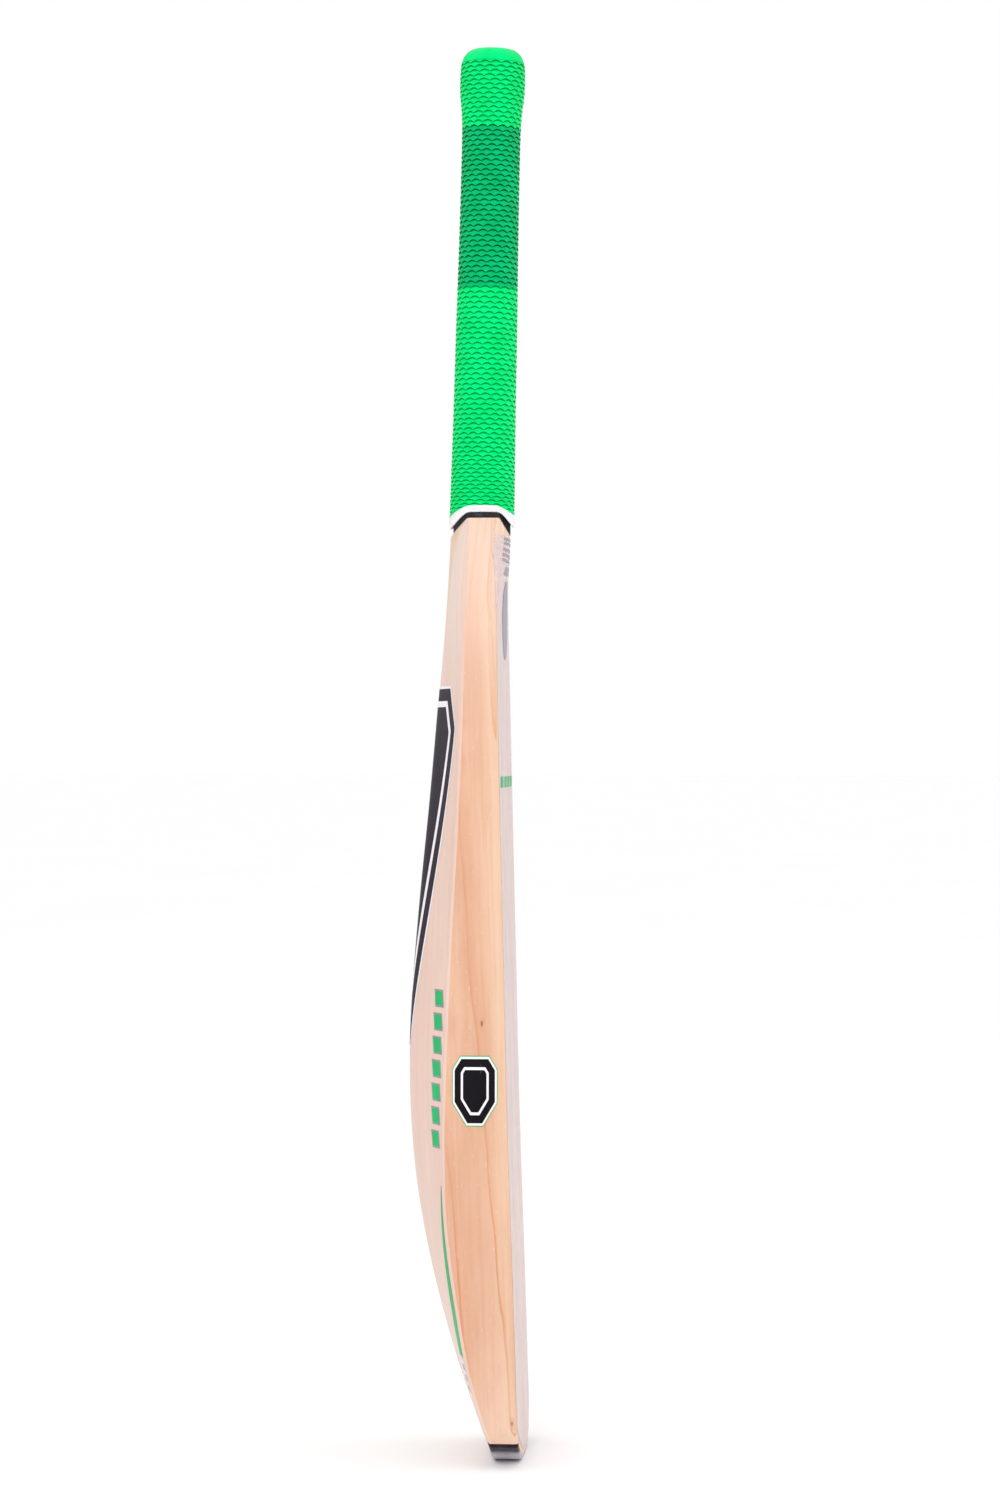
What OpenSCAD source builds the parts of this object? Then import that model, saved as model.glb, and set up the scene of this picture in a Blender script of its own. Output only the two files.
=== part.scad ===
// Full-size cricket bat: a willow blade with a laminated cane handle spliced into it.
// Frame: +Z up along the bat, the toe's flat on Z = 0 with its middle at the origin,
// the hitting face towards -Y, the spine towards +Y, and the width along X.

/* [Blade] */
// Width of the blade across the hitting face
blade_w = 108; // [100:1:108]
// Height of the shoulders' top above the floor
shoulder_z = 566; // [562:1:570]
// Half width of the willow beside the handle at the shoulders' top
shoulder_half = 20.5; // [19.5:0.5:24]
// Height over which the shoulders narrow
shoulder_run = 86; // [70:1:100]
// Bulge of the hitting face at its middle
face_crown = 0.8; // [0.3:0.1:1.5]
// Roundness of the spine's ridge, as a share of the half width
ridge_round = 0.2; // [0.1:0.05:0.5]

/* [Toe] */
// Half width of the flat in the middle of the toe
toe_flat = 14; // [8:1:20]
// Radius of the toe's long curve
toe_r = 53; // [45:1:60]
// Radius of the toe's corners
toe_corner_r = 16.8; // [14:0.1:20]
// Thickness of the toe guard
guard_t = 3.3; // [2:0.1:5]
// Height of the toe guard's top edge at the sides
guard_top = 15.1; // [14:0.1:18]

/* [Handle] */
// Length of the handle above the grip's lower end
handle_l = 277.7; // [260:0.1:290]
// Lean of the handle towards the hitting face, in degrees
handle_tilt = 1.4; // [0:0.1:3]
// Half width of the splice at the shoulders
splice_half = 15.8; // [14:0.1:16.5]
// Length of the splice below the grip's lower end
splice_l = 145; // [120:1:160]
// Thickness of each rubber spring strip
spring_t = 1.6; // [1:0.1:2.5]
// Distance of each spring strip's middle from the handle's axis
spring_off = 5.6; // [4:0.1:8]
// Thickness of the thread wound round the cane
twine_t = 0.8; // [0.5:0.1:1.2]

/* [Grip] */
// Radius of the grip's true cylinder at the handle's end
flare_r = 19.7; // [19:0.1:20.5]
// Length of that cylinder
flare_l = 15; // [10:1:18]
// Radius of the opening in the grip's end
lip_r = 11; // [8:0.5:13]
// Outer radius of the white cuff
cuff_r = 19.9; // [19.8:0.1:21]

/* [Stickers] */
// Gap between a sticker and the surface under it
lift = 0.1; // [0.08:0.01:0.15]
// Thickness of a sticker
sticker_t = 0.2; // [0.1:0.05:0.4]
// Thickness of the face film
film_t = 0.25; // [0.1:0.05:0.5]

/* [Hidden] */
$fn = 96;
SLABS = ["face", "mid", "back"];
canes = [for (slab = SLABS) for (n = [1 : 4]) str("cane_", slab, "_", n)];

half_w = blade_w / 2;
far = 80;                  // reach of every cutting prism past the bat
axis_y = 16;               // the handle's axis passes this point
axis_z = 575;

// Profiles along the bat: pairs of height and value.
FACE_Y = [[-10, -9.8], [0, -9.5], [100, -6.5], [200, -3.1], [300, -0.7], [400, 1.6], [480, 3.2],
    [520, 3.5], [550, 1.7], [580, 0]];
SPINE_Y = [[-10, 6.5], [0, 10.2], [40, 25], [80, 37.7], [120, 47.8], [160, 55.2], [200, 59.3],
    [240, 60.3], [280, 58.6], [340, 53.6], [400, 47.6], [460, 42.3], [510, 38], [580, 34]];
EDGE_BACK_Y = [[-10, -1.5], [0, 1.2], [50, 17.5], [100, 27], [145, 32.8], [185, 34.2], [230, 33.4],
    [290, 31.2], [370, 26.8], [440, 23.6], [500, 22.2], [580, 22]];
// Corner facets: their reach along X and along Y, which grow into flats near the shoulders.
FRONT_CUT_X = [[-10, 2], [440, 2], [500, 5], [550, 9], [580, 9]];
FRONT_CUT_Y = [[-10, 2], [440, 2], [480, 2.4], [516, 3.6], [550, 5], [580, 5.2]];
BACK_CUT_X = [[-10, 2.5], [400, 3], [440, 4], [480, 5.5], [516, 7.5], [550, 9], [580, 9]];
BACK_CUT_Y = [[-10, 2], [400, 2.4], [440, 3], [480, 4], [516, 5.6], [550, 5.8], [580, 5.8]];
// Radii along the handle's axis, counted from the grip's lower end.
CANE_R = [[-40, 16.8], [0, 16.6], [100, 15.6], [200, 14.9], [250, 15], [275.5, 15.3]];
GRIP_R = [[-30, 19.9], [0, 19.7], [35, 19.3], [65, 19], [110, 18.7], [150, 18.2], [190, 17.9],
    [232, 17.9], [240, 18.3], [246, 19.2]];

// The wood's top edge and the cuff's two edges, seen from the side, as pairs of Y and Z.
// The wood's heights are counted from shoulder_z.
WOOD_TOP = [[-8, -20.4], [4.4, 1.6], [24, 1.6], [42, -15.6]];
CUFF_LOW = [[-9, 554.2], [3.5, 571.2], [24.5, 571.2], [41, 556]];
CUFF_TOP = [[-9, 567.5], [4.5, 575.4], [24, 575.4], [41, 567.6]];

// ---- Curves ----------------------------------------------------------------------------

function span(t, z, i = 0) = i >= len(t) - 2 || z < t[i + 1][0] ? i : span(t, z, i + 1);

function slope(t, i) =
    let (a = t[max(i - 1, 0)], b = t[min(i + 1, len(t) - 1)]) (b[1] - a[1]) / (b[0] - a[0]);

// A smooth curve through a profile's points
function at(t, z) =
    let (i = span(t, z), h = t[i + 1][0] - t[i][0], u = (z - t[i][0]) / h)
    t[i][1] * (1 + 2 * u) * (1 - u) * (1 - u) + slope(t, i) * h * u * (1 - u) * (1 - u)
    + t[i + 1][1] * u * u * (3 - 2 * u) + slope(t, i + 1) * h * u * u * (u - 1);

// Half width of the blade, which narrows in the shoulders
function blade_half(z) =
    let (u = max(0, (z - shoulder_z + shoulder_run) / shoulder_run))
    half_w - (half_w - shoulder_half) * pow(min(u, 1.05), 2.3);

function front_half(z) = blade_half(z) - at(FRONT_CUT_X, z);
function back_half(z) = blade_half(z) - at(BACK_CUT_X, z);
function crown(z) = face_crown + max(0, z - 480) / 70;

// The hitting face, as Y at a place across and a height
function face_y(x, z) = at(FACE_Y, z) - crown(z) * (1 - pow(x / front_half(z), 2));

// The back, a rounded ridge with nearly straight flanks
function ridge(t) =
    1 - (sqrt(t * t + ridge_round * ridge_round) - ridge_round)
    / (sqrt(1 + ridge_round * ridge_round) - ridge_round);
function back_y(x, z) =
    let (low = at(EDGE_BACK_Y, z) + at(BACK_CUT_Y, z), t = abs(x) / back_half(z))
    low + (at(SPINE_Y, z) - low) * (ridge(t) - 0.04 * sin(180 * min(t, 1)));

// ---- Blade section ---------------------------------------------------------------------

face_steps = 4;
corner_steps = 3;
flank_steps = 7;

// A corner from a to b that bulges out from its chord like an arc, or less near the shoulders
function corner(a, b, out, z) =
    let (bulge = 0.207 * (1 - min(1, max(0, (z - 440) / 60))))
    [for (i = [1 : corner_steps - 1]) let (u = i / corner_steps)
        a + (b - a) * u + out * bulge * 4 * u * (1 - u)];

// Half of the section, from the middle of the face round to the spine
function half_section(z) =
    let (w = blade_half(z), wf = front_half(z), wb = back_half(z),
        cf = [w - wf, at(FRONT_CUT_Y, z)], cb = [w - wb, at(BACK_CUT_Y, z)],
        f = [wf, at(FACE_Y, z)], e0 = [w, f[1] + cf[1]], e1 = [w, at(EDGE_BACK_Y, z)],
        b = [wb, e1[1] + cb[1]])
    concat([for (i = [0 : face_steps]) let (x = wf * i / face_steps) [x, face_y(x, z)]],
        corner(f, e0, [cf[1], -cf[0]], z), [e0, e1],
        corner(e1, b, [cb[1], cb[0]], z),
        [for (i = [0 : flank_steps]) let (x = wb * (1 - i / flank_steps)) [x, back_y(x, z)]]);

function section(z) =
    let (h = half_section(z), n = len(h))
    concat(h, [for (i = [n - 2 : -1 : 1]) [-h[i][0], h[i][1]]]);

// Heights of the sections, closer together where the shape turns faster
LEVELS = concat([for (z = [-6 : 12 : 462]) z], [for (z = [470 : 7 : 575]) z]);
function levels(low, high) = [for (z = LEVELS) if (z >= low && z <= high) z];

module loft(heights) {
    n = len(section(0));
    last = len(heights) - 1;
    polyhedron(
        points = [for (z = heights) for (p = section(z)) [p[0], p[1], z]],
        faces = concat([[for (i = [0 : n - 1]) i]],
            [for (k = [0 : last - 1]) for (i = [0 : n - 1])
                let (j = (i + 1) % n) for (f = [[k * n + i, k * n + n + i, k * n + n + j],
                    [k * n + i, k * n + n + j, k * n + j]]) f],
            [[for (i = [n - 1 : -1 : 0]) last * n + i]]));
}

// ---- Frames and cutting prisms ---------------------------------------------------------

module handle_frame() { translate([0, axis_y, axis_z]) rotate([handle_tilt, 0, 0]) children(); }

// A prism across the bat with an outline of Y and Z, and one through it with X and Z
module side_prism(outline) {
    rotate([90, 0, 90]) translate([0, 0, -far]) linear_extrude(2 * far) polygon(outline);
}
module front_prism(outline) {
    rotate([90, 0, 0]) translate([0, 0, -far]) linear_extrude(2 * far) polygon(outline);
}

// Everything above an edge line, up to a height
module above(line, base = 0, top = 900) {
    side_prism(concat([for (p = line) [p[0], p[1] + base]],
        [[line[3][0], top], [line[0][0], top]]));
}
module above_wood() { above(WOOD_TOP, shoulder_z); }
module below_wood() {
    side_prism(concat([for (p = WOOD_TOP) [p[0], p[1] + shoulder_z]],
        [[far, shoulder_z + WOOD_TOP[3][1]], [far, -far], [-far, -far],
        [-far, shoulder_z + WOOD_TOP[0][1]]]));
}

// ---- Toe outline, seen from the front --------------------------------------------------

toe_turn = 40;             // angle at which the long curve meets the corner's curve
toe_corner_x = half_w - toe_corner_r;
toe_corner_z = toe_r * (1 - cos(toe_turn)) + toe_corner_r * cos(toe_turn);
guard_angle = acos((toe_corner_z - guard_top) / toe_corner_r);

// Points of the outline drawn inwards by d, for angles up to the given one
function toe_line(d, last) = concat(
    [for (a = [0 : 5 : toe_turn]) [toe_flat + (toe_r - d) * sin(a),
        toe_r - (toe_r - d) * cos(a)]],
    [for (i = [1 : 6]) let (a = toe_turn + (last - toe_turn) * i / 6)
        [toe_corner_x + (toe_corner_r - d) * sin(a), toe_corner_z - (toe_corner_r - d) * cos(a)]]);

function mirrored(line) = [for (i = [len(line) - 1 : -1 : 0]) [-line[i][0], line[i][1]]];
function both_sides(line) = concat(line, mirrored(line));

// The guard's inner line, cut level at its top edge
guard_in_angle = acos((toe_corner_z - guard_top) / (toe_corner_r - guard_t));
guard_inner = toe_line(guard_t, guard_in_angle);
guard_outer = toe_line(0, guard_angle);
corner_arc = [for (i = [0 : 6]) let (a = guard_angle + (90 - guard_angle) * i / 6)
    [toe_corner_x + toe_corner_r * sin(a), toe_corner_z - toe_corner_r * cos(a)]];

module blade_outline() {
    front_prism(both_sides(concat(guard_inner, corner_arc, [[half_w + 6, toe_corner_z + 2],
        [half_w + 6, shoulder_z + 10]])));
}
module guard_outline() {
    front_prism(concat(guard_outer, [for (i = [len(guard_inner) - 1 : -1 : 0]) guard_inner[i]],
        [for (p = guard_inner) [-p[0], p[1]]], mirrored(guard_outer)));
}

// ---- Splice and handle core ------------------------------------------------------------

splice_tip = 2;            // half width of the splice's blunt lower end

module splice_block() {
    handle_frame() front_prism([[-splice_tip, -splice_l], [splice_tip, -splice_l],
        [splice_half, shoulder_z - axis_z], [splice_half, 40], [-splice_half, 40],
        [-splice_half, shoulder_z - axis_z]]);
}

module turned(profile, extra = 0) {
    line = [for (p = profile) [p[1] + extra, p[0]]];
    rotate_extrude() polygon(concat([[0, profile[0][0]]], line,
        [[0, profile[len(profile) - 1][0]]]));
}

module core() { handle_frame() turned(CANE_R); }

slab_y = [-far, -spring_off, spring_off, far];
column_x = [-far, -7.6, 0, 7.6, far];

// The box of handle space that one cane strip or spring strip fills
module cell(x0, x1, y0, y1) {
    handle_frame() translate([x0, y0, -splice_l - 10])
        cube([x1 - x0, y1 - y0, splice_l + handle_l + 20]);
}

module cane(slab, column) {
    y0 = slab_y[slab] + (slab == 0 ? 0 : spring_t / 2);
    y1 = slab_y[slab + 1] - (slab == 2 ? 0 : spring_t / 2);
    color([0.86, 0.72, 0.46]) union() {
        intersection() {
            core();
            above_wood();
            cell(column_x[column], column_x[column + 1], y0, y1);
        }
        intersection() {
            if (slab == 1) splice_block();
            else loft(levels(414, 575));
            splice_block();
            below_wood();
            cell(column_x[column], column_x[column + 1], y0, y1);
        }
    }
}

module rubber_spring(y) {
    color([0.16, 0.15, 0.15]) union() {
        intersection() {
            core();
            above_wood();
            cell(-far, far, y - spring_t / 2, y + spring_t / 2);
        }
        intersection() {
            splice_block();
            below_wood();
            cell(-far, far, y - spring_t / 2, y + spring_t / 2);
        }
    }
}

// ---- Pieces ----------------------------------------------------------------------------

module blade() {
    color([0.93, 0.77, 0.6]) difference() {
        intersection() {
            loft(LEVELS);
            blade_outline();
            below_wood();
        }
        splice_block();
    }
}

module toe_guard() {
    color([0.17, 0.15, 0.17]) intersection() {
        loft(levels(-6, 30));
        guard_outline();
        side_prism([[-8.2, 0], [7.6, 0], [far, 60], [-far, 60], [-10.2, 5], [-9.6, 1.6]]);
    }
}

module twine_binding() {
    color([0.14, 0.13, 0.14]) intersection() {
        difference() {
            handle_frame() turned(CANE_R, twine_t);
            core();
        }
        above_wood();
    }
}

lip_z = CANE_R[len(CANE_R) - 1][0];
flare_top = handle_l - 11;
grip_rim = [[lip_z - 1.5, 18], [lip_z + 1, 15.6], [handle_l, 13.4]];

module grip() {
    outer = concat(GRIP_R, [[flare_top - flare_l, flare_r], [flare_top, flare_r],
        [lip_z - 5, 19.3]], grip_rim);
    color([0, 0.8, 0.42]) intersection() {
        difference() {
            handle_frame() turned(outer);
            handle_frame() turned(CANE_R, twine_t);
            handle_frame() translate([0, 0, handle_l - 20]) cylinder(r = lip_r, h = 30);
        }
        above(CUFF_TOP);
    }
}

module grip_cuff() {
    color([0.95, 0.93, 0.95]) intersection() {
        difference() {
            handle_frame() translate([0, 0, -30]) cylinder(r = cuff_r, h = 40);
            handle_frame() turned(CANE_R, twine_t);
        }
        side_prism(concat(CUFF_LOW, [for (i = [3 : -1 : 0]) CUFF_TOP[i]]));
    }
}

// ---- Film and stickers -----------------------------------------------------------------

// A thin closed sheet on a grid of points, lifted off the surface along a direction
module sheet(grid, out, t = sticker_t) {
    rows = len(grid);
    cols = len(grid[0]);
    count = rows * cols;
    quads = [for (r = [0 : rows - 2]) for (c = [0 : cols - 2])
        [r * cols + c, r * cols + c + 1, (r + 1) * cols + c + 1, (r + 1) * cols + c]];
    rim = concat([for (c = [0 : cols - 1]) c],
        [for (r = [1 : rows - 1]) r * cols + cols - 1],
        [for (c = [cols - 2 : -1 : 0]) (rows - 1) * cols + c],
        [for (r = [rows - 2 : -1 : 1]) r * cols]);
    m = len(rim);
    all = concat(
        [for (q = quads) for (f = [[q[0], q[1], q[2]], [q[0], q[2], q[3]]]) f],
        [for (q = quads) for (f = [[q[0], q[2], q[1]], [q[0], q[3], q[2]]])
            [f[0] + count, f[1] + count, f[2] + count]],
        [for (i = [0 : m - 1]) let (a = rim[i], b = rim[(i + 1) % m])
            for (f = [[b, a, a + count], [b, a + count, b + count]]) f]);
    flip = cross(grid[0][1] - grid[0][0], grid[1][0] - grid[0][0]) * out < 0;
    polyhedron(
        points = concat([for (row = grid) for (p = row) p + out * lift],
            [for (row = grid) for (p = row) p + out * (lift + t)]),
        faces = flip ? [for (f = all) [f[2], f[1], f[0]]] : all);
}

// A strip of the face, the back or an edge between two limits across, row by row
function strip(rows, cols, low, high, left, right, place) =
    [for (r = [0 : rows]) let (z = low + (high - low) * r / rows)
        [for (c = [0 : cols]) place(left(z) + (right(z) - left(z)) * c / cols, z)]];

on_face = function (x, z) [x, face_y(x, z), z];
on_back = function (x, z) [x, back_y(x, z), z];
on_left = function (y, z) [-blade_half(z), y, z];
on_right = function (y, z) [blade_half(z), y, z];

// The film's lower edge dips in the middle, where it follows the toe
module face_film() {
    low = 20;
    high = 555;
    dip = 14;
    fade = 90;             // height above which the rows run straight across
    place = function (x, z)
        let (h = z - dip * (1 - pow(x / half_w, 2)) * max(0, 1 - (z - low) / fade))
        on_face(x, h);
    color([0.94, 0.91, 0.92, 0.5])
        sheet(strip(44, 6, low, high, function (z) -front_half(z) + 0.5,
            function (z) front_half(z) - 0.5, place), [0, -1, 0], film_t);
}

// The long six-sided panel down the spine, narrower at its foot
module back_sticker() {
    low = 243;
    high = 466;
    head = 25;             // height over which its upper corners are cut back
    half = function (z) 4 + 0.21 * (z - low) - 0.75 * max(0, z - high + head);
    color([0.16, 0.14, 0.17])
        sheet(strip(18, 12, low, high, function (z) -half(z), half, on_back), [0, 1, 0]);
}

// An eight-sided badge on an edge, narrower at its foot
module edge_sticker(place, side) {
    low = 204;
    high = 246;
    middle = function (z) (at(FACE_Y, z) + at(EDGE_BACK_Y, z)) / 2 + 0.6;
    half = function (z) 13.5 - max(0, low + 14 - z) * 0.6 - max(0, z - high + 8) * 0.6;
    color([0.16, 0.14, 0.17])
        sheet(strip(12, 2, low, high, function (z) middle(z) - half(z),
            function (z) middle(z) + half(z), place), [side, 0, 0]);
}

// A row of slanting dashes down each flank
module back_dash_stickers() {
    color([0, 0.7, 0.38]) for (side = [-1, 1]) for (n = [0 : 6])
        sheet(strip(2, 3, 190 + 14 * n, 200 + 14 * n,
            function (z) side * 51, function (z) side * 37, on_back), [0, 1, 0]);
}

// A thin stripe down each flank's lower margin that widens towards the toe
module lower_stripe_stickers() {
    low = 66;
    high = 168;
    color([0, 0.7, 0.38]) for (side = [-1, 1])
        sheet(strip(10, 2, low, high, function (z) side * 51,
            function (z) side * (50 - 13 * (high - z) / (high - low)), on_back), [0, 1, 0]);
}

module toe_panel_stickers() {
    color([0.8, 0.76, 0.82]) for (side = [-1, 1])
        sheet(strip(3, 2, 42, 64, function (z) side * 50, function (z) side * 36, on_back),
            [0, 1, 0]);
}

// Both lie on the film, so they start above it
module face_label() {
    color([0.6, 0.58, 0.62]) translate([0, -lift - film_t, 0])
        sheet(strip(10, 4, 482, 553, function (z) -6 - 12 * (z - 482) / 71,
            function (z) 6 + 12 * (z - 482) / 71, on_face), [0, -1, 0]);
}

module face_dash_sticker() {
    color([0, 0.7, 0.38]) translate([0, -lift - film_t, 0])
        sheet(strip(2, 6, 405, 412, function (z) -38, function (z) 38, on_face), [0, -1, 0]);
}

blade();
for (slab = [0 : 2]) for (column = [0 : 3])
    cane(slab, column);
rubber_spring(-spring_off);  // rubber_spring_front
rubber_spring(spring_off);  // rubber_spring_rear
twine_binding();
grip();
grip_cuff();
toe_guard();
face_film();
back_sticker();
edge_sticker(on_left, -1);  // edge_sticker_left
edge_sticker(on_right, 1);  // edge_sticker_right
back_dash_stickers();
lower_stripe_stickers();
toe_panel_stickers();
face_label();
face_dash_sticker();
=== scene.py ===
import math

import bmesh
import bpy
import numpy as np
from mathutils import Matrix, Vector


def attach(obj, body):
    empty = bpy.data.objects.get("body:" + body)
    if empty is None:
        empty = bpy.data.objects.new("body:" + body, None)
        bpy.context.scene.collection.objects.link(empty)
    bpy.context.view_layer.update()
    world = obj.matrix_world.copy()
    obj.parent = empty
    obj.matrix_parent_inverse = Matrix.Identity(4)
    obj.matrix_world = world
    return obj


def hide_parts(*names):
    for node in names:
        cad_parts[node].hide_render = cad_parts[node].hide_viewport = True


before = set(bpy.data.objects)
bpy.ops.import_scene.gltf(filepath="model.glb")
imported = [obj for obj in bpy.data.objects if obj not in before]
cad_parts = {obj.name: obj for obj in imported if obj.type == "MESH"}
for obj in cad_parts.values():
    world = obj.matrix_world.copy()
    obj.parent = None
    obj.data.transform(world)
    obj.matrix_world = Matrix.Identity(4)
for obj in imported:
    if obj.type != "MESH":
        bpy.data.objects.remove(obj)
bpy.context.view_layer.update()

MM = 0.001
ROOT = "root"
WORLD_TOP = 0.40           # strength of the world overhead, against 1 behind the bat
WORLD_SIDE = 0.55          # and at the sides


# ---- Shape of the bat, in millimetres, as the CAD model has it --------------------------

HALF_W = 54.0
SHOULDER_Z = 566.0
SHOULDER_HALF = 20.5
SHOULDER_RUN = 86.0
FACE_CROWN = 0.8
RIDGE_ROUND = 0.2
TOE_FLAT = 14.0
TOE_R = 53.0
TOE_CORNER_R = 16.8
GUARD_T = 3.3
GUARD_TOP = 15.1
TOE_TURN = math.radians(40)
TOE_CORNER_X = HALF_W - TOE_CORNER_R
TOE_CORNER_Z = TOE_R * (1 - math.cos(TOE_TURN)) + TOE_CORNER_R * math.cos(TOE_TURN)
TOE_BLEND = 60.0           # height below which the blade's rings bend to follow the toe
RING_PITCH = 0.009         # distance between growth rings, in metres
RING_PHASE = 20.61         # shift of the rings across the blade, in pitches
FACE_N, CORNER_N, EDGE_N, FLANK_N = 20, 7, 10, 30      # steps along each part of the section
SECTIONS = {}              # sections already worked out, by height
AXIS_Y, AXIS_Z = 16.0, 575.0                           # the handle's axis passes this point
TILT = math.radians(1.4)
HANDLE_L = 277.7
LIP_Z = 275.5
LIP_R = 11.0
TWINE_T = 0.8
SPLICE_HALF = 15.8
SPLICE_TIP = 2.0
SPLICE_L = 145.0

FACE_Y = [(-10, -9.8), (0, -9.5), (100, -6.5), (200, -3.1), (300, -0.7), (400, 1.6), (480, 3.2),
          (520, 3.5), (550, 1.7), (580, 0)]
SPINE_Y = [(-10, 6.5), (0, 10.2), (40, 25), (80, 37.7), (120, 47.8), (160, 55.2), (200, 59.3),
           (240, 60.3), (280, 58.6), (340, 53.6), (400, 47.6), (460, 42.3), (510, 38), (580, 34)]
EDGE_BACK_Y = [(-10, -1.5), (0, 1.2), (50, 17.5), (100, 27), (145, 32.8), (185, 34.2), (230, 33.4),
               (290, 31.2), (370, 26.8), (440, 23.6), (500, 22.2), (580, 22)]
FRONT_CUT_X = [(-10, 2), (440, 2), (500, 5), (550, 9), (580, 9)]
FRONT_CUT_Y = [(-10, 2), (440, 2), (480, 2.4), (516, 3.6), (550, 5), (580, 5.2)]
BACK_CUT_X = [(-10, 2.5), (400, 3), (440, 4), (480, 5.5), (516, 7.5), (550, 9), (580, 9)]
BACK_CUT_Y = [(-10, 2), (400, 2.4), (440, 3), (480, 4), (516, 5.6), (550, 5.8), (580, 5.8)]
CANE_R = [(-40, 16.8), (0, 16.6), (100, 15.6), (200, 14.9), (250, 15), (275.5, 15.3)]
GRIP_R = [(-30, 19.9), (0, 19.7), (35, 19.3), (65, 19), (110, 18.7), (150, 18.2), (190, 17.9),
          (228, 17.9), (240, 18.5), (251.7, 19.7), (266.7, 19.6), (270, 19), (273, 17.9)]
WOOD_TOP = [(-8, 545.6), (4.4, 567.6), (24, 567.6), (42, 550.4)]
CUFF_LOW = [(-9, 554.2), (3.5, 571.2), (24.5, 571.2), (41, 556)]
CUFF_TOP = [(-9, 567.5), (4.5, 575.4), (24, 575.4), (41, 567.6)]


def curve(points, z):
    """The smooth curve through pairs of height and value, at one height or an array of them."""
    p = np.array(points, float)
    z = np.asarray(z, float)
    i = np.clip(np.searchsorted(p[:, 0], z, side="right") - 1, 0, len(p) - 2)
    before, after = np.maximum(np.arange(len(p)) - 1, 0), np.minimum(np.arange(len(p)) + 1, len(p) - 1)
    slope = (p[after, 1] - p[before, 1]) / (p[after, 0] - p[before, 0])
    h = p[i + 1, 0] - p[i, 0]
    u = (z - p[i, 0]) / h
    return (p[i, 1] * (1 + 2 * u) * (1 - u) ** 2 + slope[i] * h * u * (1 - u) ** 2
            + p[i + 1, 1] * u * u * (3 - 2 * u) + slope[i + 1] * h * u * u * (u - 1))


def blade_half(z):
    u = np.clip((np.asarray(z, float) - SHOULDER_Z + SHOULDER_RUN) / SHOULDER_RUN, 0, 1.05)
    return HALF_W - (HALF_W - SHOULDER_HALF) * u ** 2.3


def front_half(z):
    return blade_half(z) - curve(FRONT_CUT_X, z)


def back_half(z):
    return blade_half(z) - curve(BACK_CUT_X, z)


def face_y(x, z):
    crown = FACE_CROWN + np.maximum(0, np.asarray(z, float) - 480) / 70
    return curve(FACE_Y, z) - crown * (1 - (np.asarray(x) / front_half(z)) ** 2)


def back_y(x, z):
    low = curve(EDGE_BACK_Y, z) + curve(BACK_CUT_Y, z)
    t = np.abs(x) / back_half(z)
    ridge = 1 - (np.sqrt(t * t + RIDGE_ROUND ** 2) - RIDGE_ROUND) / (
        math.sqrt(1 + RIDGE_ROUND ** 2) - RIDGE_ROUND)
    return low + (curve(SPINE_Y, z) - low) * (ridge - 0.04 * np.sin(np.pi * np.minimum(t, 1)))


def half_section(z):
    """Half of the blade's section, from the middle of the face round to the spine."""
    w, wf, wb = float(blade_half(z)), float(front_half(z)), float(back_half(z))
    face, edge_back = float(curve(FACE_Y, z)), float(curve(EDGE_BACK_Y, z))
    cut_f, cut_b = float(curve(FRONT_CUT_Y, z)), float(curve(BACK_CUT_Y, z))
    bulge = 0.207 * (1 - min(1, max(0, (z - 440) / 60)))

    def corner(a, b, out):
        return [tuple(a[k] + (b[k] - a[k]) * u + out[k] * bulge * 4 * u * (1 - u) for k in (0, 1))
                for u in (i / CORNER_N for i in range(1, CORNER_N))]

    f, e0 = (wf, face), (w, face + cut_f)
    e1, b = (w, edge_back), (wb, edge_back + cut_b)
    points = [(x, float(face_y(x, z))) for x in np.linspace(0, wf, FACE_N + 1)]
    points += corner(f, e0, (cut_f, wf - w))
    points += [(w, y) for y in np.linspace(e0[1], e1[1], EDGE_N + 1)]
    points += corner(e1, b, (cut_b, w - wb))
    points += [(x, float(back_y(x, z))) for x in np.linspace(wb, 0, FLANK_N + 1)]
    return points


def section(z):
    half = half_section(z)
    return np.array(half + [(-x, y) for x, y in half[-2:0:-1]])


def toe_bottom(x, d):
    """Height of the toe's outline at x, drawn inwards by d."""
    x = np.minimum(np.abs(np.asarray(x, float)), 53.9)
    long_r, corner_r = TOE_R - d, TOE_CORNER_R - d
    turn_x = TOE_FLAT + long_r * math.sin(TOE_TURN)
    arc = TOE_R - np.sqrt(np.maximum(long_r ** 2 - np.clip(x - TOE_FLAT, 0, long_r) ** 2, 0))
    past = np.clip(x - TOE_CORNER_X, 0, corner_r)
    corner = TOE_CORNER_Z - np.sqrt(np.maximum(corner_r ** 2 - past ** 2, 0))
    return np.where(x < turn_x, arc, corner)


def in_handle(x, y, along):
    """A point of the handle's own frame, in the bat's frame."""
    c, s = math.cos(TILT), math.sin(TILT)
    return np.stack(np.broadcast_arrays(x, AXIS_Y + y * c - along * s, AXIS_Z + y * s + along * c), -1)


def arch(line, y, rounding=2.5):
    """Height of an edge line at y, with its corners rounded."""
    spread = [float(np.mean(np.interp(v + rounding * np.linspace(-1, 1, 9),
                                      [p[0] for p in line], [p[1] for p in line]))) for v in np.ravel(y)]
    return np.array(spread).reshape(np.shape(y))


# ---- Mesh helpers ----------------------------------------------------------------------

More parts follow.
